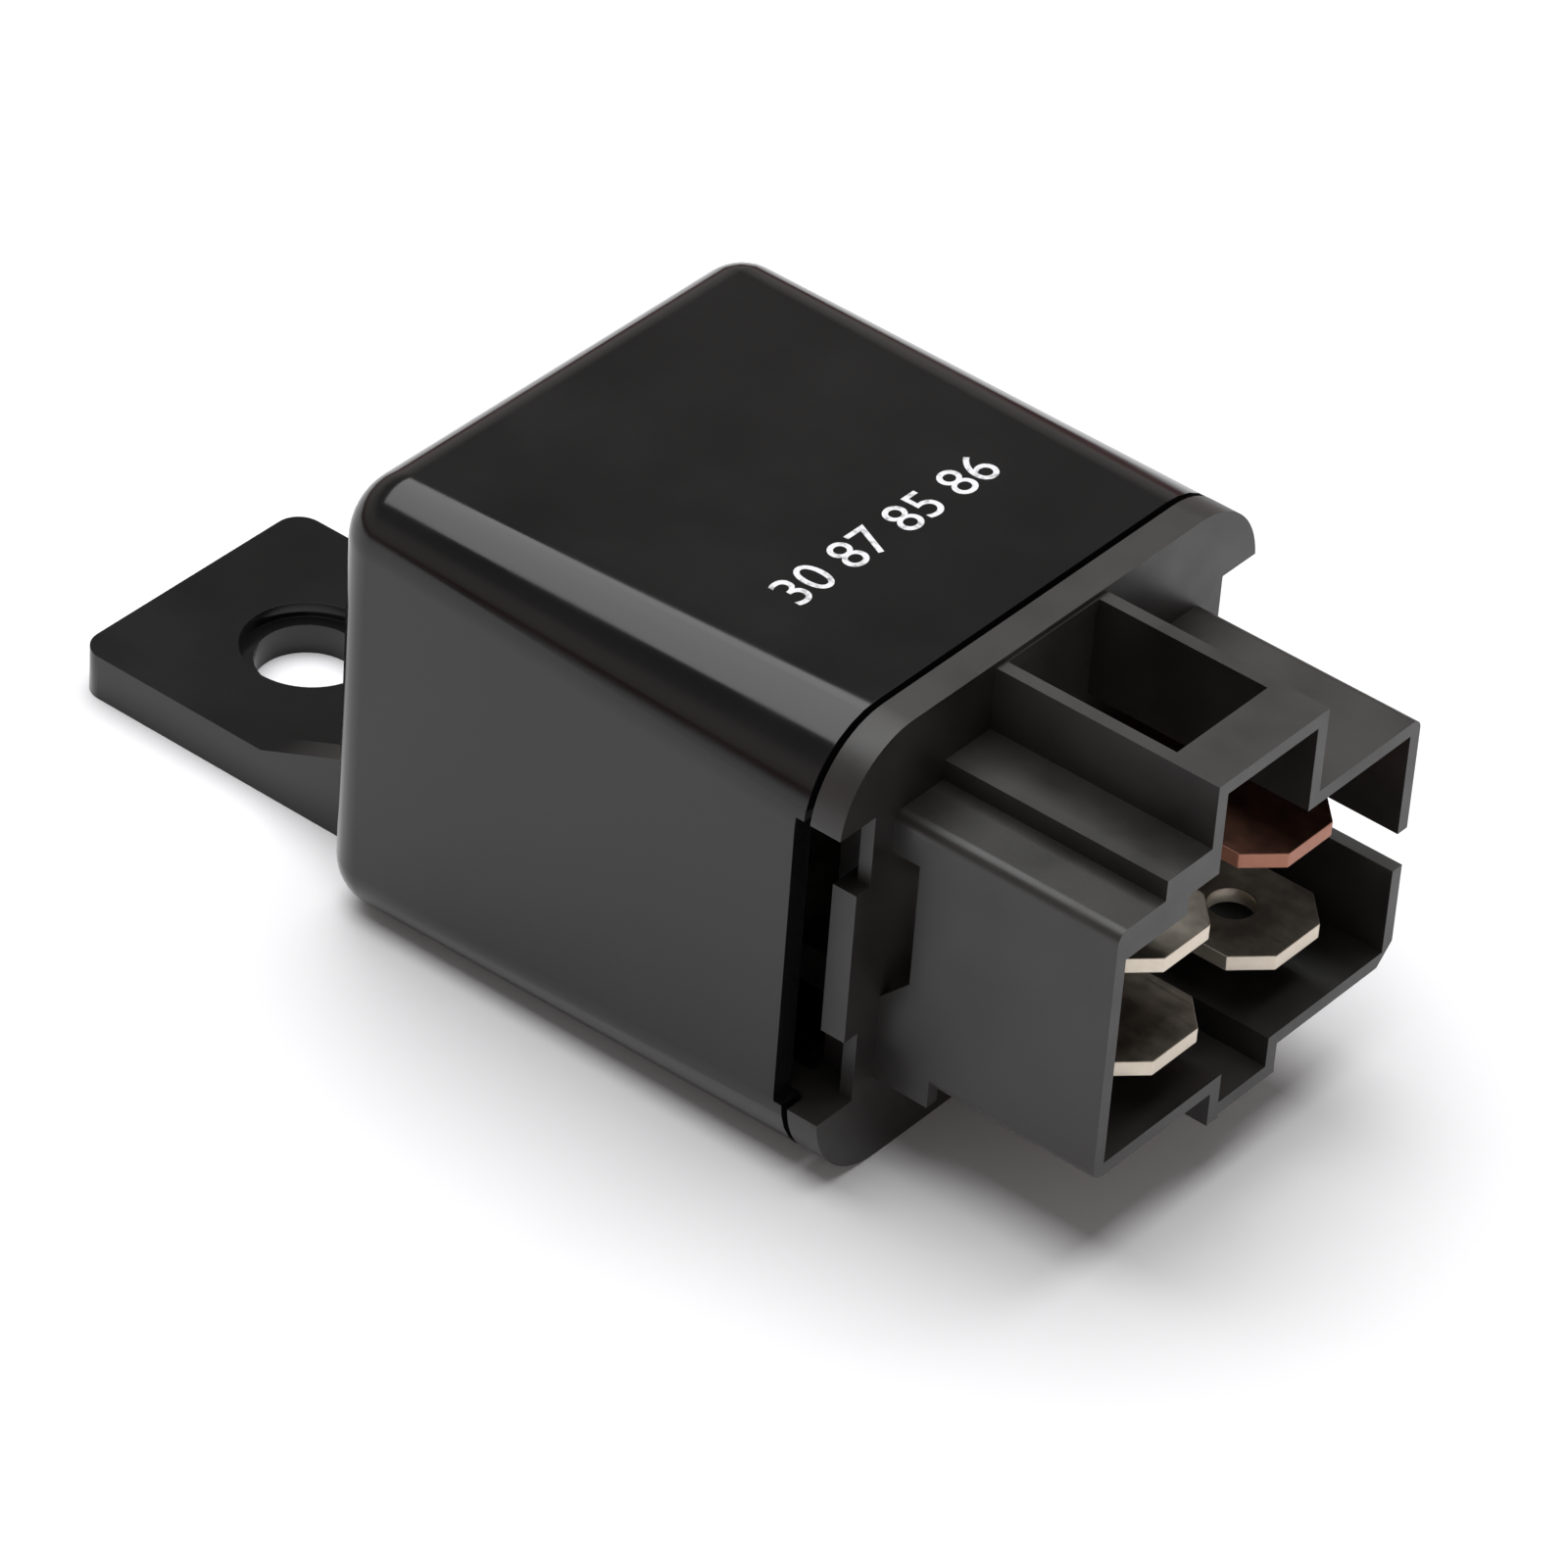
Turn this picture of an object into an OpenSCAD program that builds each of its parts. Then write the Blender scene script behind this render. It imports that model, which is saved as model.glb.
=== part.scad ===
// Plug-in automotive relay: a moulded cover with a mounting ear, a base whose shroud guards four blade
// terminals, and a hinged-armature mechanism inside. X runs from the ear to the plug and Z is up.
// The origin is the middle of the cover's underside. All sizes are in millimetres.

/* [Cover] */
// Length of the cover from its closed end to the seam
cover_l = 27.4; // [24:0.2:36]
// Width of the cover at the seam
cover_w = 29; // [28:0.2:38]
// Height of the cover at the seam
cover_h = 23.75; // [23.6:0.05:32]
// Wall of the cover
cover_wall = 1.2; // [0.8:0.1:1.6]
// Radius of the four long edges
cover_corner_r = 4.5; // [3:0.1:5.5]
// Radius round the closed end
cover_edge_r = 2.3; // [1.7:0.1:2.8]
// Radius of the long edges where they reach the closed end
cover_end_r = 3; // [2.5:0.1:5]
// How far the top and each side lean in at the closed end
cover_draft = 0.39; // [0:0.01:0.6]
// How far the open edge of each side wall stands back from the seam
cover_setback = 0.45; // [0:0.05:0.8]

/* [Mounting ear] */
// Length of the ear beyond the closed end
ear_l = 18.8; // [15:0.2:26]
// Width of the ear
ear_w = 15.1; // [12:0.1:20]
// Thickness of the ear
ear_t = 2.4; // [1.6:0.1:4]
// Distance of the ear's middle from the middle of the cover
ear_y = -2.1; // [-4:0.1:4]
// Corner radius at the end of the ear
ear_corner_r = 1.3; // [0.5:0.1:5]
// Diameter of the fixing hole
ear_hole_d = 5.2; // [4:0.1:8.4]
// Distance of the fixing hole from the end of the ear
ear_hole_end = 7.6; // [6.5:0.1:9]
// Diameter of the shallow seat round the fixing hole
ear_seat_d = 6.6; // [4.4:0.1:10]
// Depth of the shallow seat
ear_seat_depth = 0.8; // [0.1:0.1:1]
// Length of each gusset along the ear
gusset_l = 7.4; // [2:0.1:7.8]
// Height of each gusset on the cover
gusset_h = 3.1; // [1:0.1:10]
// Thickness of each gusset
gusset_t = 1.3; // [0.6:0.1:3]

/* [Base] */
// Gap between the cover and the rim of the base
seam = 0.35; // [0:0.05:1]
// Thickness of the rim outside the cover
rim_t = 1.65; // [1:0.05:3]
// Thickness of the base plate with its rim
plate_t = 2.6; // [2.2:0.1:3.2]
// Length of the skirt that the cover slides over
skirt_l = 2; // [0.5:0.1:2.4]
// Wall of the skirt
skirt_wall = 1.3; // [0.8:0.1:1.6]
// Gap between the skirt and the inside of the cover
skirt_fit = 0.15; // [0.05:0.05:0.4]
// Lowest edge of the recess in each side of the rim
recess_z = 4.2; // [3:0.1:6]
// Height of the recess in each side of the rim
recess_h = 15.5; // [10:0.1:16]
// Depth of the recess in each side of the rim
recess_depth = 2.4; // [1.6:0.1:2.6]
// Height of the latch block in the recess
latch_h = 8; // [4:0.1:9]
// How far the latch block stands back from the side of the cover
latch_setback = 1.5; // [0.4:0.1:1.6]
// How far the opening behind the latch reaches in past the recess
latch_pocket = 1.2; // [0.4:0.1:1.4]
// Thickness of the base in front of that opening
latch_skin = 0.7; // [0.5:0.1:1]
// Side of the square posts that carry the yoke
post_w = 2; // [1.4:0.1:2.6]

/* [Plug shroud] */
// Length of the shroud in front of the rim
shroud_l = 12; // [9:0.2:18]
// Width of the shroud
shroud_w = 21.4; // [21:0.1:24]
// Wall of the shroud
shroud_wall = 0.7; // [0.6:0.1:1.1]
// Height of the shroud's underside
shroud_z = 5.7; // [5:0.05:6.4]
// Size of the bevel along the lower right edge
shroud_bevel = 1; // [0.3:0.1:1.4]
// Radius of the other long outer edges
shroud_edge_r = 0.6; // [0.2:0.1:0.8]
// Height of the lower roof step and of the left wall
low_roof_z = 19.2; // [18.6:0.05:19.6]
// Width of the lower roof step
low_roof_w = 3.2; // [2:0.1:4]
// Height of the upper roof step
high_roof_z = 20.25; // [19.9:0.05:21]
// Thickness of both roof steps
roof_t = 1.7; // [0.9:0.1:1.9]
// Height of the shelf on the right
shelf_z = 19.06; // [18.6:0.02:19.6]
// Distance from the middle to the hood's left side
hood_left = 4.43; // [4:0.01:5]
// Distance from the middle to the hood's right side
hood_right = 3.3; // [3:0.1:4]
// Height of the hood's top
hood_z = 23.5; // [22:0.05:23.6]
// Wall of the hood
hood_wall = 0.7; // [0.6:0.1:1.2]
// Width of the bar across the front of the hood
hood_bar = 2.8; // [1.5:0.1:5]
// Height of the slot's lower edge in the right wall
slot_z = 10.94; // [10:0.02:11.4]
// Height of the slot in the right wall
slot_h = 2.06; // [1:0.02:2.4]
// Width of the keyway under the shroud
key_w = 4.8; // [3.5:0.1:6]
// Depth of the keyway below the shroud
key_h = 1.6; // [1:0.05:3]
// Width of the rib under the keyway
rib_w = 0.8; // [0.5:0.1:1.5]
// Height of that rib
rib_h = 0.2; // [0.1:0.05:0.6]
// Length of the notch at the root of the left wall
notch_l = 1.5; // [1:0.1:2.5]
// Height of the notch's lower corner
notch_z = 9.2; // [7:0.1:10]
// Height of the notch above its slope
notch_h = 6.4; // [3:0.1:7]
// Length of the web under the root of the left wall
web_l = 3; // [1:0.1:5]
// Height of that web
web_h = 1; // [0.4:0.1:1.6]

/* [Blade terminals] */
// Width of a blade
blade_w = 6.3; // [5.8:0.1:6.8]
// Thickness of a blade
blade_t = 0.8; // [0.6:0.05:1]
// Distance between the left and right blades
blade_pitch_y = 9.5; // [9:0.1:10.5]
// Distance between the lower and upper blades
blade_pitch_z = 5.65; // [5.2:0.05:5.9]
// Height of the lower blades' underside
blade_z = 8.75; // [8.4:0.05:9]
// Width of the flat front edge of a blade
blade_tip_w = 3.15; // [2:0.05:5]
// Length of the bevels at the tip of a blade
blade_bevel = 1.55; // [0.5:0.05:3]
// How far the left blades end behind the shroud's front
left_recess = 0.5; // [0.2:0.05:3]
// How far the right blades end behind the shroud's front
right_recess = 1.05; // [0.2:0.05:3]
// Diameter of the locking hole in the lower right blade
blade_hole_d = 2.2; // [1:0.1:2.6]
// Distance of the locking hole from the blade's tip
blade_hole_x = 3.65; // [3:0.05:6]
// Gap round a blade in the base plate
blade_fit = 0.04; // [0.02:0.01:0.1]

/* [Coil] */
// Diameter of the core
core_d = 6; // [4.5:0.1:6.6]
// Diameter of the pole face
pole_d = 8.6; // [7:0.1:10]
// Thickness of the pole face
pole_t = 1; // [0.6:0.1:1.4]
// Diameter of the core's staked end
stake_d = 4.4; // [3:0.1:4.6]
// Gap between the core and the bobbin
core_fit = 0.1; // [0.05:0.05:0.2]
// Wall of the bobbin tube
bobbin_wall = 0.8; // [0.5:0.1:1]
// Side of the square bobbin flanges
flange_w = 14; // [12:0.1:14.4]
// Thickness of the bobbin flanges
flange_t = 1.2; // [0.8:0.1:1.6]
// Diameter over the winding
winding_d = 12.6; // [10.5:0.1:12.8]
// Thickness of the tape round the winding
tape_t = 0.15; // [0.1:0.05:0.3]
// Distance of the coil's axis from the middle, to the right
coil_y = -1.2; // [-1.4:0.1:-1]

/* [Yoke and armature] */
// Thickness of the yoke
yoke_t = 1.5; // [1:0.1:1.7]
// Width of the yoke and the armature
yoke_w = 12; // [10:0.1:13]
// Distance from the coil's axis to the outer face of the yoke
yoke_drop = 9.2; // [8.9:0.1:9.4]
// Distance between the yoke's foot and the base plate
yoke_gap = 3.7; // [3.4:0.1:4.2]
// Thickness of the armature
armature_t = 1.4; // [1:0.1:1.5]
// Gap that is left between the pole face and the closed armature
air_gap = 0.05; // [0.03:0.01:0.1]
// Angle through which the armature opens
open_angle = 2.5; // [1.5:0.1:2.6]
// Room between the pole face and the closed end of the cover
end_room = 4.3; // [4.2:0.1:6]

/* [Contacts] */
// Thickness of the contact spring
leaf_t = 0.3; // [0.2:0.05:0.35]
// Width of the contact spring's free end
leaf_w = 4.6; // [4:0.1:5.4]
// Distance of the contacts from the coil's axis
contact_y = 11.1; // [10.8:0.1:11.3]
// Diameter of the contact buttons
contact_d = 3.4; // [2.6:0.1:3.6]
// Thickness of a contact button
contact_t = 0.8; // [0.6:0.05:0.9]
// Gap that is left between the closed contacts
contact_gap = 0.05; // [0.03:0.01:0.1]
// Diameter of the rivet shanks
rivet_d = 1.6; // [1.2:0.1:1.8]
// Diameter of the rivet heads
rivet_head_d = 2.4; // [2:0.1:2.6]
// Thickness of the rivet heads
rivet_head_t = 0.3; // [0.2:0.05:0.3]
// Width of the inner terminal strips
strip_w = 3.5; // [3:0.1:3.6]
// Thickness of the back stop's strip
stop_t = 0.7; // [0.5:0.05:0.75]
// Gap between the back stop and the open contact spring
stop_gap = 0.05; // [0.03:0.01:0.1]

/* [Springs and small parts] */
// Wire of the return spring
spring_wire_d = 0.4; // [0.3:0.05:0.5]
// Mean diameter of the return spring
spring_d = 1.5; // [1.2:0.05:1.6]
// Turns of the return spring
spring_turns = 11; // [6:1:14]
// Distance from the yoke's outer face to the return spring's axis
spring_drop = 1.35; // [1.3:0.05:1.4]
// Thickness of the flexible pigtail
pigtail_t = 0.5; // [0.3:0.05:0.5]
// Width of the flexible pigtail
pigtail_w = 2.6; // [1.5:0.1:3.5]
// Diameter of the resistor's body
resistor_d = 2.2; // [1.6:0.1:2.3]
// Length of the resistor's body
resistor_l = 6.3; // [4:0.1:8]
// Room between the resistor and the side of the cover
resistor_fit = 0.3; // [0.2:0.05:0.5]
// Diameter of the resistor's leads
lead_d = 0.6; // [0.4:0.05:0.7]
// Diameter of the coil's lead wires
wire_d = 0.4; // [0.25:0.05:0.5]

/* [Hidden] */
$fn = 48;
hull_fn = 32;
eps = 0.01;

// Stations along X
closed_x = -cover_l / 2;
seam_x = cover_l / 2;
rim_x = seam_x + seam;
plug_x = rim_x + rim_t;
front_x = plug_x + shroud_l;
plate_x = plug_x - plate_t;
skirt_x = plate_x - skirt_l;
foot_x = plate_x - yoke_gap;
pole_x = closed_x + cover_wall + end_room;
closed_face_x = pole_x - air_gap;
leaf_x = closed_face_x - armature_t;

// Stations along Y and Z
left_y = -shroud_w / 2;
right_y = shroud_w / 2;
high_roof_y = left_y + low_roof_w;
high_blade_z = blade_z + blade_pitch_z;
axis_z = blade_z + (blade_pitch_z + blade_t) / 2;
yoke_y = coil_y - yoke_drop;
button_y = coil_y + contact_y;
strip_y = button_y - strip_w / 2;
tail_drop = flange_w / 2 + 0.4;
tail_y = -blade_pitch_y / 2 + 0.25;
tail_w = 3;
tail_end_x = foot_x - 3;
spring_y = yoke_y - spring_drop;
spring_z = axis_z - 2.9;
lug_x = foot_x - 5.6;
resistor_x = lug_x + 3;
resistor_y = cover_wall + resistor_fit + resistor_d / 2 - cover_w / 2;
pigtail_z = axis_z + 2.6;
clear_t = 0.1;

// Runs a flat YZ outline along X, from x for a length l
module along_x(x, l) {
    translate([x, 0, 0]) rotate([90, 0, 90]) linear_extrude(l) children();
}

// Round bar along X
module rod_x(x, l, d) {
    translate([x, 0, 0]) rotate([0, 90, 0]) cylinder(d = d, h = l);
}

// Rectangle with four round corners, standing on the Y axis of its plane
module round_rect(w, h, r) {
    translate([-w / 2, r]) square([w, h - 2 * r]);
    translate([-w / 2 + r, 0]) square([w - 2 * r, h]);
    for (x = [-w / 2 + r, w / 2 - r], y = [r, h - r]) translate([x, y]) circle(r);
}

// What a radius r takes off an outside corner that points to (side, up)
module corner_waste(y, z, side, up, r) {
    translate([y, z]) difference() {
        translate([side > 0 ? -r : -eps, up > 0 ? -r : -eps]) square(r + eps);
        translate([-side * r, -up * r]) circle(r);
    }
}

// Block with round long edges, open end at x = 0, leaning in towards its soft closed end
module drafted_block(l, w, h, corner, end_corner, edge, lean) {
    hull() for (side = [-1, 1], up = [0, 1]) {
        translate([0, side * (w / 2 - corner), up ? h - corner : corner])
            rotate([0, -90, 0]) cylinder(r = corner, h = eps, $fn = hull_fn);
        translate([-l, side * (w / 2 - end_corner - lean), up ? h - end_corner - lean : end_corner])
            rotate([0, 90, 0]) soft_disc(end_corner, edge);
    }
}

// Disc with a quarter-round rim, its round side down
module soft_disc(r, edge) {
    rotate_extrude($fn = hull_fn) intersection() {
        union() {
            square([r - edge, edge]);
            translate([r - edge, edge]) circle(edge, $fn = hull_fn);
        }
        square([r, edge]);
    }
}

// Plan of the ear, with its far end rounded
module ear_outline() {
    root = cover_edge_r;
    difference() {
        translate([closed_x - ear_l, ear_y - ear_w / 2]) square([ear_l + root, ear_w]);
        for (side = [-1, 1])
            corner_waste(closed_x - ear_l, ear_y + side * ear_w / 2, -1, side, ear_corner_r);
    }
}

// Sloping web between the ear and the cover
module gusset(y) {
    translate([closed_x, y + gusset_t / 2, ear_t - eps]) rotate([90, 0, 0]) linear_extrude(gusset_t)
        polygon([[-gusset_l, 0], [cover_edge_r, 0], [cover_edge_r, gusset_h], [0, gusset_h]]);
}

module cover() color("#1c1b1b") difference() {
    union() {
        translate([seam_x, 0, 0])
            drafted_block(cover_l, cover_w, cover_h, cover_corner_r, cover_end_r, cover_edge_r, cover_draft);
        linear_extrude(ear_t) ear_outline();
        for (side = [-1, 1]) gusset(ear_y + side * (ear_w - gusset_t) / 2);
    }
    // Inside of the cover
    translate([seam_x + eps, 0, cover_wall])
        drafted_block(cover_l - cover_wall + eps, cover_w - 2 * cover_wall, cover_h - 2 * cover_wall,
                      cover_corner_r - cover_wall, cover_end_r - cover_wall, cover_edge_r - cover_wall,
                      cover_draft);
    // Side walls stand back from the seam
    for (side = [0, 1]) mirror([0, side, 0])
        translate([seam_x - cover_setback, cover_w / 2 - recess_depth, recess_z])
            cube([cover_setback + eps, recess_depth + eps, recess_h]);
    // Fixing hole and its seat
    translate([closed_x - ear_l + ear_hole_end, ear_y, 0]) {
        translate([0, 0, -eps]) cylinder(d = ear_hole_d, h = ear_t + 2 * eps);
        translate([0, 0, ear_t - ear_seat_depth]) cylinder(d = ear_seat_d, h = ear_seat_depth + eps);
    }
}

// Section of the shroud, drawn in by t on every side and by roof under the roof steps
module shroud_section(t, hood, roof) {
    polygon([[left_y + t, shroud_z + t], [-key_w / 2 + t, shroud_z + t],
             [-key_w / 2 + t, shroud_z - key_h + t], [key_w / 2 - t, shroud_z - key_h + t],
             [key_w / 2 - t, shroud_z + t], [right_y - t, shroud_z + t], [right_y - t, shelf_z - t],
             [hood_right - hood, shelf_z - t], [hood_right - hood, hood_z - hood],
             [-hood_left + hood, hood_z - hood], [-hood_left + hood, high_roof_z - roof],
             [high_roof_y + roof, high_roof_z - roof], [high_roof_y + roof, low_roof_z - roof],
             [left_y + t, low_roof_z - roof]]);
}

module shroud() {
    difference() {
        along_x(plug_x - eps, shroud_l + eps) difference() {
            shroud_section(0, 0, 0);
            shroud_section(shroud_wall, hood_wall, roof_t);
            corner_waste(left_y, low_roof_z, -1, 1, shroud_edge_r);
            corner_waste(left_y, shroud_z, -1, -1, shroud_edge_r);
            corner_waste(right_y, shelf_z, 1, 1, shroud_edge_r);
            translate([right_y, shroud_z]) rotate(45) square(sqrt(2) * shroud_bevel, center = true);
        }
        // Window in the top of the hood
        translate([plug_x + clear_t, hood_wall - hood_left, hood_z - hood_wall - eps])
            cube([shroud_l - hood_bar - clear_t, hood_left + hood_right - 2 * hood_wall, hood_wall + 2 * eps]);
        // Notch at the root of the left wall, with a sloping lower end
        translate([plug_x, left_y + shroud_wall + eps, notch_z]) rotate([90, 0, 0])
            linear_extrude(shroud_wall + 2 * eps)
                polygon([[0, 0], [notch_l, notch_l], [notch_l, notch_l + notch_h], [0, notch_l + notch_h]]);
        // Slot through the right wall
        translate([plug_x, right_y - shroud_wall - eps, slot_z])
            cube([shroud_l + eps, shroud_wall + 2 * eps, slot_h]);
    }
    translate([plug_x - eps, -key_w / 2, shroud_z - key_h - rib_h]) cube([shroud_l + eps, rib_w, rib_h + eps]);
    translate([plug_x - eps, left_y, shroud_z - web_h]) cube([web_l, shroud_wall, web_h + shroud_edge_r]);
}

// Recess in one side of the rim, round its latch block
module side_recess(side) {
    block_z = recess_z + (recess_h - latch_h) / 2;
    depth = recess_depth + latch_pocket;
    mirror([0, side, 0]) difference() {
        union() {
            translate([rim_x - eps, cover_w / 2 - recess_depth, recess_z])
                cube([rim_t + 2 * eps, recess_depth + eps, recess_h]);
            // Opening through the skirt, behind the latch
            translate([skirt_x - eps, cover_w / 2 - depth, recess_z])
                cube([plug_x - latch_skin - skirt_x + eps, depth + eps, recess_h]);
        }
        translate([rim_x + seam, cover_w / 2 - depth - eps, block_z])
            cube([rim_t - seam, depth - latch_setback + eps, latch_h]);
    }
}

module base() color("#232222") {
    skirt_w = cover_w - 2 * (cover_wall + skirt_fit);
    skirt_h = cover_h - 2 * (cover_wall + skirt_fit);
    skirt_r = cover_corner_r - cover_wall - skirt_fit;
    slot_h = blade_t + 2 * blade_fit;
    strip_slot_w = strip_w + 2 * blade_fit;
    difference() {
        union() {
            along_x(rim_x, rim_t) round_rect(cover_w, cover_h, cover_corner_r);
            translate([0, 0, cover_wall + skirt_fit]) along_x(skirt_x, rim_x - skirt_x + eps)
                round_rect(skirt_w, skirt_h, skirt_r);
        }
        // Hollow behind the plate
        translate([0, 0, cover_wall + skirt_fit + skirt_wall]) along_x(skirt_x - eps, skirt_l + eps)
            round_rect(skirt_w - 2 * skirt_wall, skirt_h - 2 * skirt_wall, skirt_r - skirt_wall / 2);
        for (side = [0, 1]) side_recess(side);
        // Room in the skirt for the contact strips
        translate([skirt_x - eps, strip_y - blade_fit, high_blade_z - blade_fit])
            cube([skirt_l + eps, strip_slot_w, slot_h]);
        translate([skirt_x - eps, strip_y - blade_fit, blade_z - stop_t - blade_fit])
            cube([skirt_l + eps, strip_slot_w, stop_t + 2 * blade_fit]);
        // Slots for the blades
        for (side = [-1, 1], z = [blade_z, high_blade_z])
            translate([plate_x - eps, side * blade_pitch_y / 2 - blade_w / 2 - blade_fit, z - blade_fit])
                cube([plate_t + 2 * eps, blade_w + 2 * blade_fit, slot_h]);
    }
    shroud();
    // Posts under the foot of the yoke
    for (y = [yoke_y + yoke_t, coil_y + flange_w / 2 - post_w], side = [-1, 1])
        translate([foot_x, y, axis_z + side * (yoke_w - post_w) / 2 - post_w / 2])
            cube([yoke_gap + eps, post_w, post_w]);
}

// Flat blade pointing along X, its inner end at x
module blade(x, side, z, recess) {
    tip = front_x - recess;
    half = blade_w / 2;
    translate([0, side * blade_pitch_y / 2, z]) linear_extrude(blade_t)
        polygon([[x, -half], [tip - blade_bevel, -half], [tip, -blade_tip_w / 2], [tip, blade_tip_w / 2],
                 [tip - blade_bevel, half], [x, half]]);
}

// Lower right blade, with its inner end turned up against the foot of the yoke
module terminal_30() color("#9a8f7c") difference() {
    inner = blade_pitch_y / 2 - blade_w / 2;
    pad_w = coil_y + flange_w / 2 - inner;
    union() {
        blade(foot_x, 1, blade_z, right_recess);
        translate([foot_x, inner, blade_z]) cube([blade_t, pad_w, blade_pitch_z]);
    }
    translate([front_x - right_recess - blade_hole_x, blade_pitch_y / 2, blade_z - eps])
        cylinder(d = blade_hole_d, h = blade_t + 2 * eps);
    at_terminal_rivets() rod_x(foot_x - eps, blade_t + 2 * eps, rivet_d);
}

// Upper right blade, with a strip beside the coil that ends at the fixed contact
module terminal_87() color("#8a4a2c") difference() {
    jog_x = foot_x + blade_t + rivet_head_t + 0.3;
    end_x = fixed_plate_x();
    union() {
        blade(jog_x, 1, high_blade_z, right_recess);
        translate([jog_x, blade_pitch_y / 2, high_blade_z])
            cube([plate_x - jog_x, strip_y + strip_w - blade_pitch_y / 2, blade_t]);
        translate([end_x, strip_y, high_blade_z]) cube([jog_x - end_x + eps, strip_w, blade_t]);
        translate([end_x, strip_y, axis_z - strip_w / 2])
            cube([blade_t, strip_w, high_blade_z + blade_t - axis_z + strip_w / 2]);
    }
    translate([0, button_y, axis_z]) rod_x(end_x - eps, blade_t + 2 * eps, rivet_d + clear_t);
}

// Place of the plate that carries the fixed contact
function fixed_plate_x() = leaf_x + contact_t + contact_gap + contact_t;

// Left blade whose tail clears the yoke and reaches the bobbin, above the axis or below it
module coil_terminal(z, up) {
    inner_x = foot_x + 1.2;
    edge_z = axis_z + up * tail_drop;
    low = min(z, edge_z - (up > 0 ? 0 : blade_t));
    high = max(z + blade_t, edge_z + (up > 0 ? blade_t : 0));
    blade(inner_x, -1, z, left_recess);
    translate([inner_x, tail_y - tail_w / 2, low]) cube([blade_t, tail_w, high - low]);
    translate([tail_end_x, tail_y - tail_w / 2, up > 0 ? high - blade_t : low])
        cube([inner_x - tail_end_x + eps, tail_w, blade_t]);
}

module terminal_85() color("#a39b8b") coil_terminal(blade_z, -1);

module terminal_86() color("#a39b8b") coil_terminal(high_blade_z, 1);

// Places its children on the coil's axis
module on_axis() translate([0, coil_y, axis_z]) children();

coil_x0 = pole_x + pole_t + clear_t;
coil_x1 = foot_x - yoke_t - clear_t;
tube_d = core_d + 2 * core_fit + 2 * bobbin_wall;

module bobbin() color("#e8e2d0") on_axis() difference() {
    union() {
        rod_x(coil_x0, coil_x1 - coil_x0, tube_d);
        for (x = [coil_x0, coil_x1 - flange_t])
            along_x(x, flange_t) translate([0, -flange_w / 2]) round_rect(flange_w, flange_w, 1);
    }
    rod_x(coil_x0 - eps, coil_x1 - coil_x0 + 2 * eps, core_d + 2 * core_fit);
    // Notches for the coil's leads
    for (up = [-1, 1]) translate([coil_x1 - flange_t - eps, tail_y - coil_y - 0.5, up * flange_w / 2 - 0.6])
        cube([flange_t + 2 * eps, 1, 1.2]);
}

module winding() color("#b4622d") on_axis() difference() {
    rod_x(coil_x0 + flange_t, coil_x1 - coil_x0 - 2 * flange_t, winding_d);
    rod_x(coil_x0, coil_x1 - coil_x0, tube_d);
}

module coil_tape() color("#d9b84a") on_axis() difference() {
    tape_x = coil_x0 + flange_t + clear_t;
    tape_l = coil_x1 - coil_x0 - 2 * (flange_t + clear_t) - 2 * wire_d;
    rod_x(tape_x, tape_l, winding_d + 2 * tape_t);
    rod_x(tape_x - eps, tape_l + 2 * eps, winding_d);
}

module core() color("#b9bcc0") on_axis() {
    rod_x(pole_x, pole_t, pole_d);
    rod_x(pole_x, foot_x - yoke_t - pole_x, core_d);
    rod_x(foot_x - yoke_t - eps, yoke_t + rivet_head_t, stake_d);
    rod_x(foot_x, rivet_head_t, stake_d + 0.6);
}

// Places its children on the two rivets that hold terminal 30 to the yoke
module at_terminal_rivets() {
    rivet_y = coil_y + flange_w / 2 - rivet_head_d / 2 - 0.3;
    lowest = blade_z + blade_t + rivet_head_d / 2 + 0.05;
    for (z = [lowest, lowest + rivet_head_d - clear_t]) translate([0, rivet_y, z]) children();
}

module terminal_rivets() color("#c9c4b8") at_terminal_rivets() {
    rod_x(foot_x - yoke_t, yoke_t + blade_t + eps, rivet_d);
    rod_x(foot_x + blade_t, rivet_head_t, rivet_head_d - 2 * clear_t);
}

module yoke() color("#c3c0b4") difference() {
    foot_w = yoke_drop + flange_w / 2;
    union() {
        translate([foot_x - yoke_t, yoke_y, axis_z - yoke_w / 2]) cube([yoke_t, foot_w, yoke_w]);
        translate([pole_x, yoke_y, axis_z - yoke_w / 2]) cube([foot_x - pole_x, yoke_t, yoke_w]);
        translate([lug_x, spring_y - 0.8, spring_z - 1]) cube([yoke_t * 0.8, yoke_y - spring_y + 0.8 + eps, 2]);
    }
    on_axis() rod_x(foot_x - yoke_t - eps, yoke_t + 2 * eps, stake_d);
    at_terminal_rivets() rod_x(foot_x - yoke_t - eps, yoke_t + 2 * eps, rivet_d);
    translate([0, spring_y, spring_z]) rod_x(lug_x - eps, yoke_t, spring_wire_d + 0.4);
}

// Turns its children from the closed position to the open one, about the yoke's edge
module opened() {
    translate([closed_face_x, yoke_y, 0]) rotate([0, 0, open_angle])
        translate([-closed_face_x, -yoke_y, 0]) children();
}

// Shanks of the rivets that hold the contact spring to the armature
module armature_shanks(x, l, d) {
    for (y = [coil_y - 3.4, coil_y + 3.4]) translate([0, y, axis_z]) rod_x(x, l, d);
}

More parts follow.
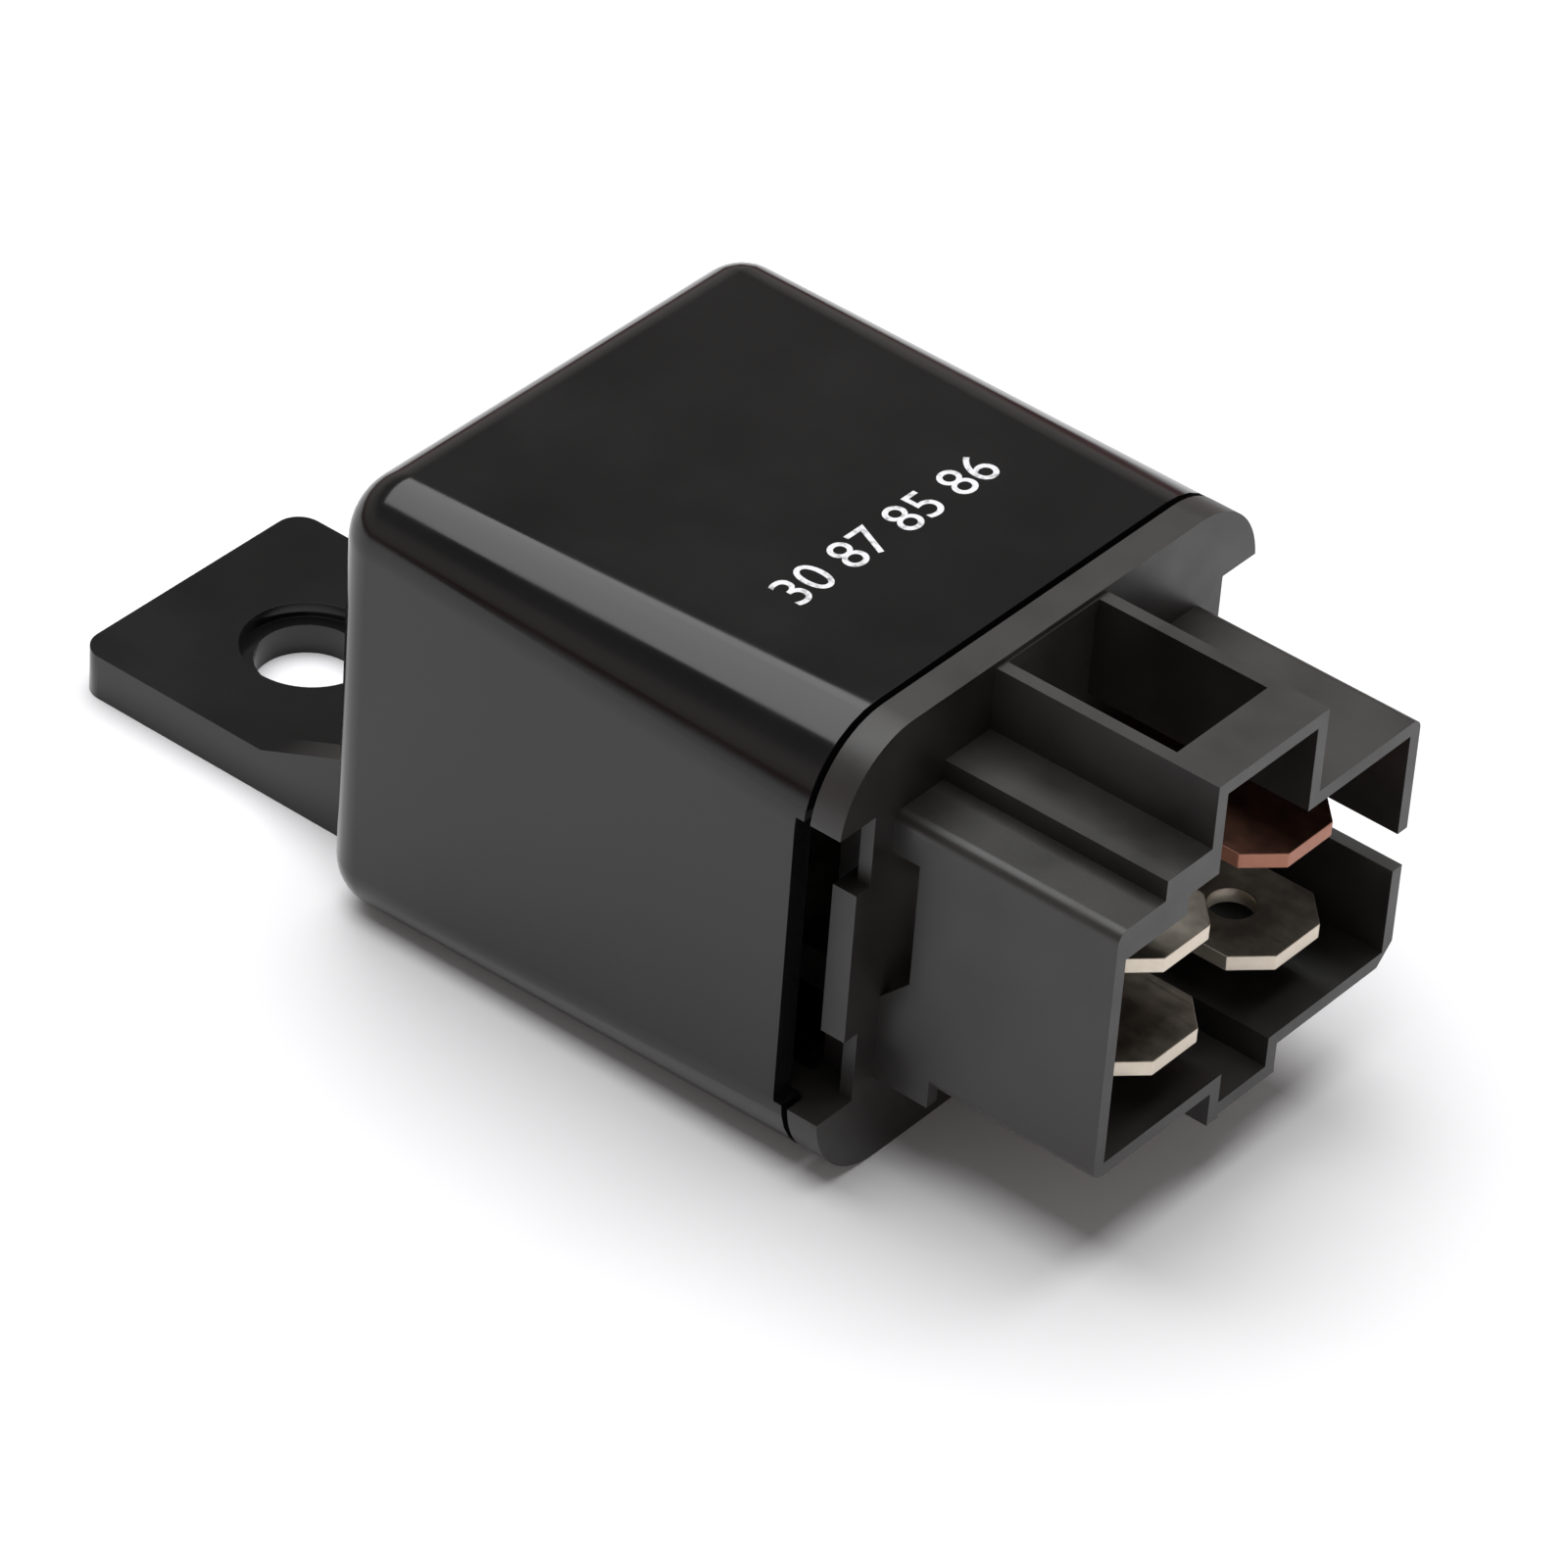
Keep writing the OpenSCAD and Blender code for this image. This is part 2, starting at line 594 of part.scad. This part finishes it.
module armature() color("#c3c0b4") opened() difference() {
    tail = spring_drop + 0.75;
    reach = yoke_drop + pole_d / 2 + 1.2;
    union() {
        translate([closed_face_x - armature_t, yoke_y, axis_z - yoke_w / 2]) cube([armature_t, reach, yoke_w]);
        translate([closed_face_x - armature_t, yoke_y - tail, spring_z - 1.2])
            cube([armature_t, tail + eps, 2.4]);
    }
    translate([0, spring_y, spring_z])
        rod_x(closed_face_x - armature_t - eps, armature_t + 2 * eps, spring_wire_d + 0.6);
    armature_shanks(closed_face_x - armature_t - eps, armature_t + 2 * eps, rivet_d);
}

module contact_spring() color("#c98a4b") opened() difference() {
    root_y = coil_y - 6;
    wide = yoke_w - 4;
    arm_y = coil_y + pole_d / 2 + 0.8;
    translate([leaf_x - leaf_t, 0, 0]) along_x(0, leaf_t) polygon([
        [root_y, axis_z - wide / 2], [arm_y, axis_z - wide / 2],
        [arm_y + 1.5, axis_z - leaf_w / 2], [button_y + leaf_w / 2 - 0.8, axis_z - leaf_w / 2],
        [button_y + leaf_w / 2, axis_z - leaf_w / 2 + 0.8], [button_y + leaf_w / 2, axis_z + leaf_w / 2 - 0.8],
        [button_y + leaf_w / 2 - 0.8, axis_z + leaf_w / 2], [arm_y + 1.5, axis_z + leaf_w / 2],
        [arm_y, axis_z + wide / 2], [root_y, axis_z + wide / 2]]);
    armature_shanks(leaf_x - leaf_t - eps, leaf_t + 2 * eps, rivet_d);
    translate([0, button_y, axis_z]) rod_x(leaf_x - leaf_t - eps, leaf_t + 2 * eps, rivet_d);
}

module armature_rivets() color("#d0ccc0") opened() {
    armature_shanks(leaf_x - leaf_t, leaf_t + armature_t, rivet_d);
    armature_shanks(leaf_x - leaf_t - rivet_head_t, rivet_head_t, rivet_head_d);
}

module moving_contact() color("#d8d4c8") opened() translate([0, button_y, axis_z]) {
    rod_x(leaf_x, contact_t, contact_d);
    rod_x(leaf_x - leaf_t - eps, leaf_t + 2 * eps, rivet_d);
    rod_x(leaf_x - leaf_t - rivet_head_t, rivet_head_t, rivet_head_d);
}

module fixed_contact() color("#d8d4c8") translate([0, button_y, axis_z]) {
    plate = fixed_plate_x();
    rod_x(plate - contact_t, contact_t, contact_d);
    rod_x(plate - eps, blade_t + 2 * eps, rivet_d);
    rod_x(plate + blade_t, rivet_head_t, rivet_head_d);
}

// Strip from the base that ends behind the contact spring
module back_stop() color("#b5b0a4") {
    open_x = leaf_x - leaf_t - rivet_head_t - (button_y - yoke_y) * sin(open_angle) - rivet_head_d / 2 * sin(open_angle);
    stop_x = open_x - stop_gap - stop_t;
    strip_z = blade_z - stop_t;
    translate([stop_x, strip_y, strip_z]) cube([plate_x - stop_x, strip_w, stop_t]);
    translate([stop_x, strip_y, strip_z]) cube([stop_t, strip_w, axis_z + 1.5 - strip_z]);
}

// Close-wound wire of a given mean radius, along X
module helix(r, wire_r, pitch, turns, steps, sides) {
    count = turns * steps;
    points = [for (i = [0:count], k = [0:sides - 1])
        let (a = 360 * i / steps, b = 360 * k / sides, rr = r + wire_r * cos(b))
        [i * pitch / steps + wire_r * sin(b), rr * cos(a), rr * sin(a)]];
    rings = [for (i = [0:count - 1], k = [0:sides - 1])
        let (n = (k + 1) % sides)
        [i * sides + k, i * sides + n, (i + 1) * sides + n, (i + 1) * sides + k]];
    polyhedron(points, concat([[for (k = [0:sides - 1]) sides - 1 - k]], rings,
                              [[for (k = [0:sides - 1]) count * sides + k]]), convexity = 8);
}

module return_spring() color("#b8bcc2") translate([0, spring_y, spring_z]) {
    r = spring_d / 2;
    start_x = closed_face_x + 0.8;
    end_x = lug_x - 0.8;
    hook_x = closed_face_x - armature_t - 0.25;
    tail_x = lug_x + yoke_t * 0.8 + 0.15;
    translate([start_x, 0, 0]) helix(r, spring_wire_d / 2, (end_x - start_x) / spring_turns, spring_turns, 10, 6);
    for (x = [start_x, end_x]) translate([x, r / 2, 0])
        cube([spring_wire_d, r, spring_wire_d * 0.8], center = true);
    rod_x(hook_x, start_x - hook_x, spring_wire_d);
    rod_x(end_x, tail_x - end_x, spring_wire_d);
    for (x = [hook_x, tail_x]) translate([x, 0, 0]) rotate([90, 0, 90])
        translate([0, 0, -spring_wire_d / 4]) cylinder(d = spring_wire_d * 2.6, h = spring_wire_d / 2);
}

// Point at t on the cubic curve through a, b, c and d
function curve(a, b, c, d, t) =
    pow(1 - t, 3) * a + 3 * t * pow(1 - t, 2) * b + 3 * t * t * (1 - t) * c + t * t * t * d;

// Flexible copper link from the yoke round its edge to the contact spring
module pigtail() color("#b5652f") {
    half = pigtail_t / 2;
    out_x = leaf_x - leaf_t - half - 0.1 - 3 * sin(open_angle);
    a = [pole_x + 3.6, yoke_y - half];
    b = [pole_x - 0.6, yoke_y - half - 1.9];
    c = [out_x, yoke_y - half - 1.7];
    d = [out_x, yoke_y + 3.2];
    steps = 14;
    path = [for (i = [0:steps]) curve(a, b, c, d, i / steps)];
    side = [for (i = [0:steps]) let (p = path[max(i - 1, 0)], q = path[min(i + 1, steps)], v = q - p)
        half * [v[1], -v[0]] / norm(v)];
    translate([0, 0, pigtail_z - pigtail_w / 2]) linear_extrude(pigtail_w) {
        polygon(concat([for (i = [0:steps]) path[i] + side[i]], [for (i = [steps:-1:0]) path[i] - side[i]]));
        translate([a[0] - eps, yoke_y - pigtail_t]) square([2.5, pigtail_t]);
    }
}

// Resistor across the coil's two terminals
module suppression_resistor() color("#6f9fb8") translate([resistor_x, resistor_y, axis_z]) {
    lead_z = tail_drop + blade_t / 2;
    reach = tail_y - tail_w / 2 - resistor_y;
    cylinder(d = resistor_d, h = resistor_l, center = true);
    cylinder(d = lead_d, h = 2 * lead_z, center = true);
    for (side = [-1, 1]) translate([0, 0, side * lead_z]) {
        sphere(d = lead_d);
        rotate([-90, 0, 0]) cylinder(d = lead_d, h = reach);
    }
}

// Wire from the winding to the tail of a coil terminal
module coil_lead(up) {
    start = sqrt(pow(winding_d / 2, 2) - pow(coil_y - tail_y, 2)) + clear_t / 2;
    translate([coil_x1 - flange_t - wire_d, tail_y, axis_z]) {
        translate([0, 0, up > 0 ? start : -tail_drop]) cylinder(d = wire_d, h = tail_drop - start);
        translate([0, 0, up * (tail_drop - wire_d)]) sphere(d = 2 * wire_d);
    }
}

module coil_lead_start() color("#b4622d") coil_lead(1);

module coil_lead_finish() color("#b4622d") coil_lead(-1);

cover();
base();
terminal_30();
terminal_87();
terminal_85();
terminal_86();
bobbin();
winding();
coil_tape();
core();
yoke();
armature();
contact_spring();
moving_contact();
armature_rivets();
fixed_contact();
back_stop();
return_spring();
pigtail();
terminal_rivets();
suppression_resistor();
coil_lead_start();
coil_lead_finish();
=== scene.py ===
import math
import bmesh
import bpy
from mathutils import Matrix, Vector


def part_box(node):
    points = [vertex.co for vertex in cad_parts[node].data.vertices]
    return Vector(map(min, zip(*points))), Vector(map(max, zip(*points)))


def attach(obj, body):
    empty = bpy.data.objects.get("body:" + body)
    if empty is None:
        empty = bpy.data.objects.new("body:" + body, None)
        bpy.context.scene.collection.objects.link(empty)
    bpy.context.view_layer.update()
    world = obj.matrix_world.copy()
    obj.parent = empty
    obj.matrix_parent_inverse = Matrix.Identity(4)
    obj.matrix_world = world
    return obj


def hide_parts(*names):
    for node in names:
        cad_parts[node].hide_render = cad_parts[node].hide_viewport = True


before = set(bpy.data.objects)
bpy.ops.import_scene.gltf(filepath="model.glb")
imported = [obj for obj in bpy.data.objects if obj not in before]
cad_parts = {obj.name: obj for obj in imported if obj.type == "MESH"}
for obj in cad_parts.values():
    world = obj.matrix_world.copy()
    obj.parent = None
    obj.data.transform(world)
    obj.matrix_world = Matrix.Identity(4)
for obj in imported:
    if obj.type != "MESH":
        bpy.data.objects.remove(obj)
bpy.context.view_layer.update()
mm = 0.001
print("frame loaded:", len(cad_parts), "nodes")

cameraLook = {
    "aim": (5.38, -5.0, 12.06),   # mm, the point in the middle of the view
    "azimuth": 36.96,             # degrees, 0 looks along +Y
    "elevation": 37.29,           # degrees above the horizon
    "roll": 4.44,                 # degrees
    "distance": 375.0,            # mm
    "lens": 196.5,                # mm on a 36 mm sensor
    "nearest": 0.01,              # m, nothing closer is drawn
}


def makeCamera(look):
    turn, tilt = math.radians(look["azimuth"]), math.radians(look["elevation"])
    ahead = Vector((-math.sin(turn) * math.cos(tilt), math.cos(turn) * math.cos(tilt),
                    -math.sin(tilt)))
    right = ahead.cross(Vector((0, 0, 1))).normalized()
    right = Matrix.Rotation(-math.radians(look["roll"]), 3, ahead) @ right
    up = right.cross(ahead)
    data = bpy.data.cameras.new("camera")
    data.lens = look["lens"]
    data.clip_start = look["nearest"]
    camera = bpy.data.objects.new("camera", data)
    bpy.context.scene.collection.objects.link(camera)
    place = Matrix((right, up, -ahead)).transposed().to_4x4()
    place.translation = Vector(look["aim"]) * mm - ahead * look["distance"] * mm
    camera.matrix_world = place
    bpy.context.scene.camera = camera


makeCamera(cameraLook)
bpy.context.scene.view_settings.view_transform = "Standard"
print("camera made")


def linear(hexColour):
    # an sRGB hex colour as the linear values that the nodes take
    channels = [int(hexColour[i:i + 2], 16) / 255 for i in (1, 3, 5)]
    return [c / 12.92 if c <= 0.04045 else ((c + 0.055) / 1.055) ** 2.4 for c in channels] + [1.0]


def addNode(tree, kind, inputs=None, links=None, **settings):
    node = tree.nodes.new(kind)
    for key, value in settings.items():
        setattr(node, key, value)
    for key, value in (inputs or {}).items():
        node.inputs[key].default_value = value
    for key, socket in (links or {}).items():
        tree.links.new(socket, node.inputs[key])
    return node


def startMaterial(name):
    material = bpy.data.materials.new(name)
    material.use_nodes = True
    tree = material.node_tree
    tree.nodes.clear()
    place = addNode(tree, "ShaderNodeTexCoord").outputs["Object"]
    return material, tree, place


def finishMaterial(tree, colour, roughness, bump=None, **fixed):
    shader = addNode(tree, "ShaderNodeBsdfPrincipled", inputs=fixed)
    for key, source in (("Base Color", colour), ("Roughness", roughness), ("Normal", bump)):
        if source is not None:
            tree.links.new(source, shader.inputs[key])
    addNode(tree, "ShaderNodeOutputMaterial", links={"Surface": shader.outputs[0]})


def grain(tree, place, size, detail=3.0):
    # noise whose lumps measure about size millimetres
    return addNode(tree, "ShaderNodeTexNoise", inputs={"Scale": 1000 / size, "Detail": detail},
                   links={"Vector": place}).outputs["Fac"]


def spread(tree, source, low, high, start=0.3, stop=0.7):
    # source between start and stop, stretched to run from low to high
    return addNode(tree, "ShaderNodeMapRange", links={"Value": source}, inputs={
        "From Min": start, "From Max": stop, "To Min": low, "To Max": high}).outputs[0]


def blendColours(tree, factor, first, second):
    # each colour is a hex string or another node's output
    mix = addNode(tree, "ShaderNodeMix", data_type="RGBA", links={"Factor": factor})
    for key, colour in (("A", first), ("B", second)):
        socket = [s for s in mix.inputs if s.name == key and s.type == "RGBA"][0]
        if isinstance(colour, str):
            socket.default_value = linear(colour)
        else:
            tree.links.new(colour, socket)
    return [s for s in mix.outputs if s.type == "RGBA"][0]


def bumpFrom(tree, height, depth, strength=1.0):
    return addNode(tree, "ShaderNodeBump", links={"Height": height},
                   inputs={"Distance": depth * mm, "Strength": strength}).outputs[0]


def mouldedPlastic(name, look):
    # plastic from a polished or fine-grained mould: even colour, a sheen that varies a little
    material, tree, place = startMaterial(name)
    cloud = grain(tree, place, look["cloud"])
    fine = grain(tree, place, look["grain"], 2.0)
    colour = blendColours(tree, spread(tree, cloud, 0, 1), look["dark"], look["light"])
    roughness = spread(tree, cloud, look["smooth"], look["rough"])
    finishMaterial(tree, colour, roughness, bumpFrom(tree, fine, look["depth"], look["strength"]),
                   IOR=look["ior"])
    return material


rollingLook = {
    "stretch": (0.12, 1, 1),   # the streaks run along X
    "dull": (0.35, 0.65),      # how the noise splits into dull and clear patches
    "edge": (0.45, 0.85),      # upward part of the normal: below is an upright face, painted pale as a highlight, above is the flat
}


def sheetMetal(name, look):
    # rolled strip or drawn wire: faint streaks along X and dull patches
    material, tree, place = startMaterial(name)
    stretched = addNode(tree, "ShaderNodeMapping", inputs={"Scale": rollingLook["stretch"]},
                        links={"Vector": place})
    streak = grain(tree, stretched.outputs[0], look["streak"], 4.0)
    patch = grain(tree, place, look["patch"], 4.0)
    dullness = spread(tree, patch, 0, 1, *rollingLook["dull"])
    colour = blendColours(tree, dullness, look["dark"], look["light"])
    if "paintedEdgeHighlight" in look:
        # painted highlight: faces that stand upright, mostly the stamped edges, are painted paler
        # than the flats
        facing = addNode(tree, "ShaderNodeTexCoord").outputs["Normal"]
        upward = addNode(tree, "ShaderNodeSeparateXYZ", links={0: facing}).outputs["Z"]
        flatness = addNode(tree, "ShaderNodeMath", operation="ABSOLUTE",
                           links={0: upward}).outputs[0]
        colour = blendColours(tree, spread(tree, flatness, 0, 1, *rollingLook["edge"]),
                              look["paintedEdgeHighlight"], colour)
    roughness = spread(tree, streak, look["smooth"], look["rough"])
    finishMaterial(tree, colour, roughness, bumpFrom(tree, streak, look["depth"]),
                   Metallic=look["metallic"])
    return material


# in each finish the sizes of cloud, grain, streak and patch, and the depth of bump, are in mm

# clear dark reflections of the lamp, blurred only at their rims
coverPlastic = mouldedPlastic("polished black ABS", {
    "dark": "#121111", "light": "#161515", "cloud": 7.0, "grain": 0.6, "depth": 0.001,
    "strength": 0.4, "smooth": 0.10, "rough": 0.17, "ior": 1.45})
# a broad dull sheen with no clear reflection, from the glass fibres near the surface
basePlastic = mouldedPlastic("satin black glass-filled nylon", {
    "dark": "#1d1b1a", "light": "#262422", "cloud": 4.0, "grain": 0.25, "depth": 0.005,
    "strength": 0.7, "smooth": 0.34, "rough": 0.50, "ior": 1.55})
# milky and soft
bobbinPlastic = mouldedPlastic("natural nylon", {
    "dark": "#d6cfb9", "light": "#e6e0cc", "cloud": 3.0, "grain": 0.3, "depth": 0.004,
    "strength": 0.5, "smooth": 0.4, "rough": 0.5, "ior": 1.53})
# yellow film with a slight shine
tapePlastic = mouldedPlastic("polyester coil tape", {
    "dark": "#c9a63c", "light": "#dcbf58", "cloud": 3.0, "grain": 0.4, "depth": 0.004,
    "strength": 0.5, "smooth": 0.25, "rough": 0.35, "ior": 1.6})
# pale blue paint, dipped and glossy
resistorPaint = mouldedPlastic("resistor lacquer", {
    "dark": "#5f8fa8", "light": "#76a5bb", "cloud": 1.5, "grain": 0.3, "depth": 0.004,
    "strength": 0.5, "smooth": 0.25, "rough": 0.35, "ior": 1.5})
# dull grey-brown flats, handled and stained, with the stamped edges painted pale as a highlight
tinPlate = sheetMetal("tin-plated brass", {
    "dark": "#6f6960", "light": "#8d877c", "streak": 0.25, "patch": 1.2, "depth": 0.003,
    "smooth": 0.34, "rough": 0.5, "metallic": 0.8, "paintedEdgeHighlight": "#ddd3c3"})
# brown with a skin of oxide, which hides most of the metal's shine; the stamped edges are painted
# paler as a highlight
bareCopper = sheetMetal("oxidised copper", {
    "dark": "#4a3128", "light": "#6b4739", "streak": 0.25, "patch": 1.4, "depth": 0.003,
    "smooth": 0.38, "rough": 0.55, "metallic": 0.45, "paintedEdgeHighlight": "#b27a64"})
# drawn wire under clear enamel, orange and bright
windingCopper = sheetMetal("enamelled copper wire", {
    "dark": "#a5552a", "light": "#c06f3c", "streak": 0.3, "patch": 1.0, "depth": 0.01,
    "smooth": 0.3, "rough": 0.4, "metallic": 1.0})
# pale grey and softly bright
zincPlate = sheetMetal("zinc-plated steel", {
    "dark": "#aaa89c", "light": "#c2c0b6", "streak": 0.3, "patch": 1.5, "depth": 0.003,
    "smooth": 0.3, "rough": 0.45, "metallic": 1.0})
# warm yellow strip with a fine rolled shine
springBronze = sheetMetal("rolled phosphor bronze", {
    "dark": "#b07a42", "light": "#c99457", "streak": 0.2, "patch": 1.5, "depth": 0.002,
    "smooth": 0.25, "rough": 0.35, "metallic": 1.0})
# the whitest metal in the relay
silverAlloy = sheetMetal("silver contact alloy", {
    "dark": "#c9c5bb", "light": "#dedad0", "streak": 0.3, "patch": 0.8, "depth": 0.002,
    "smooth": 0.25, "rough": 0.35, "metallic": 1.0})

innerFinish = {
    "bobbin": bobbinPlastic, "winding": windingCopper, "coil_tape": tapePlastic,
    "core": zincPlate, "yoke": zincPlate, "armature": zincPlate,
    "contact_spring": springBronze, "moving_contact": silverAlloy,
    "armature_rivets": silverAlloy, "fixed_contact": silverAlloy, "back_stop": zincPlate,
    "return_spring": zincPlate, "pigtail": bareCopper, "terminal_rivets": silverAlloy,
    "suppression_resistor": resistorPaint, "coil_lead_start": windingCopper,
    "coil_lead_finish": windingCopper,
}
for nodeName, material in innerFinish.items():
    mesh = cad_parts[nodeName].data
    mesh.materials.clear()
    mesh.materials.append(material)
print("inner pieces finished")

# flat: degrees under which faces are joined; radius: mm of rounding, on edges sharper than angle
coverLook = {"flat": 0.5, "radius": 0.22, "segments": 3, "angle": 40}
baseLook = {"flat": 0.5, "radius": 0.16, "segments": 3, "angle": 35}
bladeLook = {"flat": 0.5, "radius": 0.06, "segments": 2, "angle": 35}
mergeGap = 0.0005    # mm, corners closer than this become one
shadingWeight = 80   # large faces lead the shading, so that flats stay flat


def softened(nodeName, pieceName, material, look, body="housing"):
    # a clean copy of the node: merged, flat faces joined, sharp edges rounded
    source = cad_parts[nodeName].data
    bm = bmesh.new()
    bm.from_mesh(source)
    bmesh.ops.remove_doubles(bm, verts=bm.verts, dist=mergeGap * mm)
    bmesh.ops.dissolve_limit(bm, angle_limit=math.radians(look["flat"]), verts=bm.verts,
                             edges=bm.edges)
    mesh = bpy.data.meshes.new(pieceName)
    bm.to_mesh(mesh)
    bm.free()
    mesh.materials.clear()
    mesh.materials.append(material)
    mesh.shade_smooth()
    piece = bpy.data.objects.new(pieceName, mesh)
    bpy.context.scene.collection.objects.link(piece)
    edge = piece.modifiers.new("edges", "BEVEL")
    edge.width = look["radius"] * mm
    edge.segments = look["segments"]
    edge.limit_method = "ANGLE"
    edge.angle_limit = math.radians(look["angle"])
    edge.use_clamp_overlap = True
    edge.loop_slide = False
    even = piece.modifiers.new("even shading", "WEIGHTED_NORMAL")
    even.weight = shadingWeight
    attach(piece, body)
    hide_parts(nodeName)
    return piece


softened("cover", "cover_shell", coverPlastic, coverLook)
softened("base", "base_moulding", basePlastic, baseLook)
for nodeName, material, slotName in (("terminal_30", tinPlate, "tinned_brass"),
                                     ("terminal_85", tinPlate, "tinned_brass"),
                                     ("terminal_86", tinPlate, "tinned_brass"),
                                     ("terminal_87", bareCopper, "bare_copper")):
    softened(nodeName, nodeName + "_blade", material, bladeLook)
print("outer pieces finished")

markLook = {
    "words": "30 87 85 86",                # standard terminal numbers
    "height": 2.0,                         # mm
    "length": 14.0,                        # mm
    "middle": (6.1, 0.0),                  # mm, X and Y on the cover's top
    "film": 0.015,                         # mm, thickness of the ink
    "slope": (0.39, 27.4),                 # mm that the top falls, over mm of its length
    "highest": 13.7,                       # mm, X of the open end, where the top is highest
    "worn": "#9a9a9c", "fresh": "#e9e9ec",   # thin and full ink
    "speck": 0.35,                         # mm, size of the thin spots
    "grit": 0.004,                         # mm, depth of its bump
}


def printedMark(look):
    text = bpy.data.curves.new("mark", "FONT")
    text.body = look["words"]
    text.align_x = "CENTER"
    text.align_y = "CENTER"
    text.extrude = 0.5   # half of one unit each way, so that film scales it to the full thickness
    draft = bpy.data.objects.new("mark", text)
    bpy.context.scene.collection.objects.link(draft)
    bpy.context.view_layer.update()
    evaluated = draft.evaluated_get(bpy.context.evaluated_depsgraph_get())
    mesh = bpy.data.meshes.new_from_object(evaluated)
    bpy.data.objects.remove(draft)
    low = [min(v.co[i] for v in mesh.vertices) for i in range(3)]
    high = [max(v.co[i] for v in mesh.vertices) for i in range(3)]
    wide, tall = look["length"] / (high[0] - low[0]), look["height"] / (high[1] - low[1])
    flat = Matrix.Diagonal((wide * mm, tall * mm, look["film"] * mm, 1)) @ Matrix.Translation(
        (-(low[0] + high[0]) / 2, -(low[1] + high[1]) / 2, 0))
    lean = math.atan(look["slope"][0] / look["slope"][1])
    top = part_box("cover")[1].z
    height = top - (look["highest"] - look["middle"][0]) * mm * math.tan(lean)
    spot = Matrix.Translation((look["middle"][0] * mm, look["middle"][1] * mm, 0))
    mesh.transform(Matrix.Translation((0, 0, height)) @ spot @ Matrix.Rotation(-lean, 4, "Y")
                   @ Matrix.Rotation(math.radians(90), 4, "Z") @ flat)
    piece = bpy.data.objects.new("printed_mark", mesh)
    bpy.context.scene.collection.objects.link(piece)
    # matt white, thin and greyer in small spots
    material, tree, place = startMaterial("white pad-printed ink")
    thin = grain(tree, place, look["speck"], 5.0)
    colour = blendColours(tree, spread(tree, thin, 0, 1, 0.3, 0.5), look["worn"], look["fresh"])
    finishMaterial(tree, colour, spread(tree, thin, 0.5, 0.35), bumpFrom(tree, thin, look["grit"]))
    mesh.materials.clear()
    mesh.materials.append(material)
    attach(piece, "housing")


printedMark(markLook)
print("marking printed")

studio = {
    "floorSize": 6.0,            # m
    "floor": "#f4f4f6",
    "floorLift": 1.12,           # how much paler the floor shows to the camera and in reflections
    # a level lamp over the part: size and place in m, radiance in W per m2 per steradian
    "softbox": {"size": (0.95, 0.98), "place": (-0.20, 0.10, 0.80), "radiance": 3.35},
    "paleSky": "#fafafc",
    # the room as reflections see it: height of the direction (0 is level, 1 straight up), colour
    "room": [(-0.03, (0.15, 0.035, 0.040)),
             (0.07, (0.15, 0.035, 0.040)),
             (0.12, (0.38, 0.33, 0.31)),
             (0.24, (0.50, 0.46, 0.44)),
             (0.42, (0.42, 0.40, 0.39)),
             (0.55, (0.20, 0.195, 0.19)),
             (0.66, (0.15, 0.15, 0.15)),
             (0.80, (0.09, 0.09, 0.09))],
}


def seenRays(tree, *more):
    # 1 for rays from the camera, through clear material, and of the further kinds named
    rays = addNode(tree, "ShaderNodeLightPath").outputs
    total = rays["Is Camera Ray"]
    for kind in ("Is Transmission Ray",) + more:
        total = addNode(tree, "ShaderNodeMath", operation="MAXIMUM",
                        links={0: total, 1: rays[kind]}).outputs[0]
    return total


def paleFloor(look):
    bm = bmesh.new()
    bmesh.ops.create_grid(bm, x_segments=1, y_segments=1, size=look["floorSize"] / 2)
    mesh = bpy.data.meshes.new("floor")
    bm.to_mesh(mesh)
    bm.free()
    floor = bpy.data.objects.new("floor", mesh)
    bpy.context.scene.collection.objects.link(floor)
    material, tree, _ = startMaterial("matt white paper")
    lift = spread(tree, seenRays(tree, "Is Glossy Ray"), 1.0, look["floorLift"], 0.0, 1.0)
    paper = addNode(tree, "ShaderNodeVectorMath", operation="SCALE", links={"Scale": lift},
                    inputs={0: linear(look["floor"])[:3]}).outputs[0]
    matt = addNode(tree, "ShaderNodeBsdfDiffuse", links={"Color": paper})
    addNode(tree, "ShaderNodeOutputMaterial", links={"Surface": matt.outputs[0]})
    mesh.materials.append(material)


def softLamp(name, look):
    data = bpy.data.lights.new(name, "AREA")
    data.shape = "RECTANGLE"
    data.size, data.size_y = look["size"]
    data.energy = look["radiance"] * math.pi * look["size"][0] * look["size"][1]
    lamp = bpy.data.objects.new(name, data)
    bpy.context.scene.collection.objects.link(lamp)
    lamp.location = look["place"]


def surroundings(look):
    world = bpy.data.worlds.new("studio")
    bpy.context.scene.world = world
    world.use_nodes = True
    tree = world.node_tree
    tree.nodes.clear()
    direction = addNode(tree, "ShaderNodeTexCoord").outputs["Generated"]
    rise = addNode(tree, "ShaderNodeSeparateXYZ", links={0: direction}).outputs["Z"]
    room = addNode(tree, "ShaderNodeValToRGB", links={"Fac": spread(tree, rise, 0, 1, -1, 1)})
    stops = room.color_ramp.elements
    while len(stops) < len(look["room"]):
        stops.new(1.0)
    for stop, (height, colour) in zip(stops, look["room"]):
        stop.position = (height + 1) / 2
        stop.color = colour + (1.0,)
    tone = blendColours(tree, seenRays(tree), room.outputs["Color"], look["paleSky"])
    backdrop = addNode(tree, "ShaderNodeBackground", links={"Color": tone})
    addNode(tree, "ShaderNodeOutputWorld", links={"Surface": backdrop.outputs[0]})


paleFloor(studio)
softLamp("softbox", studio["softbox"])
surroundings(studio)
print("studio set")
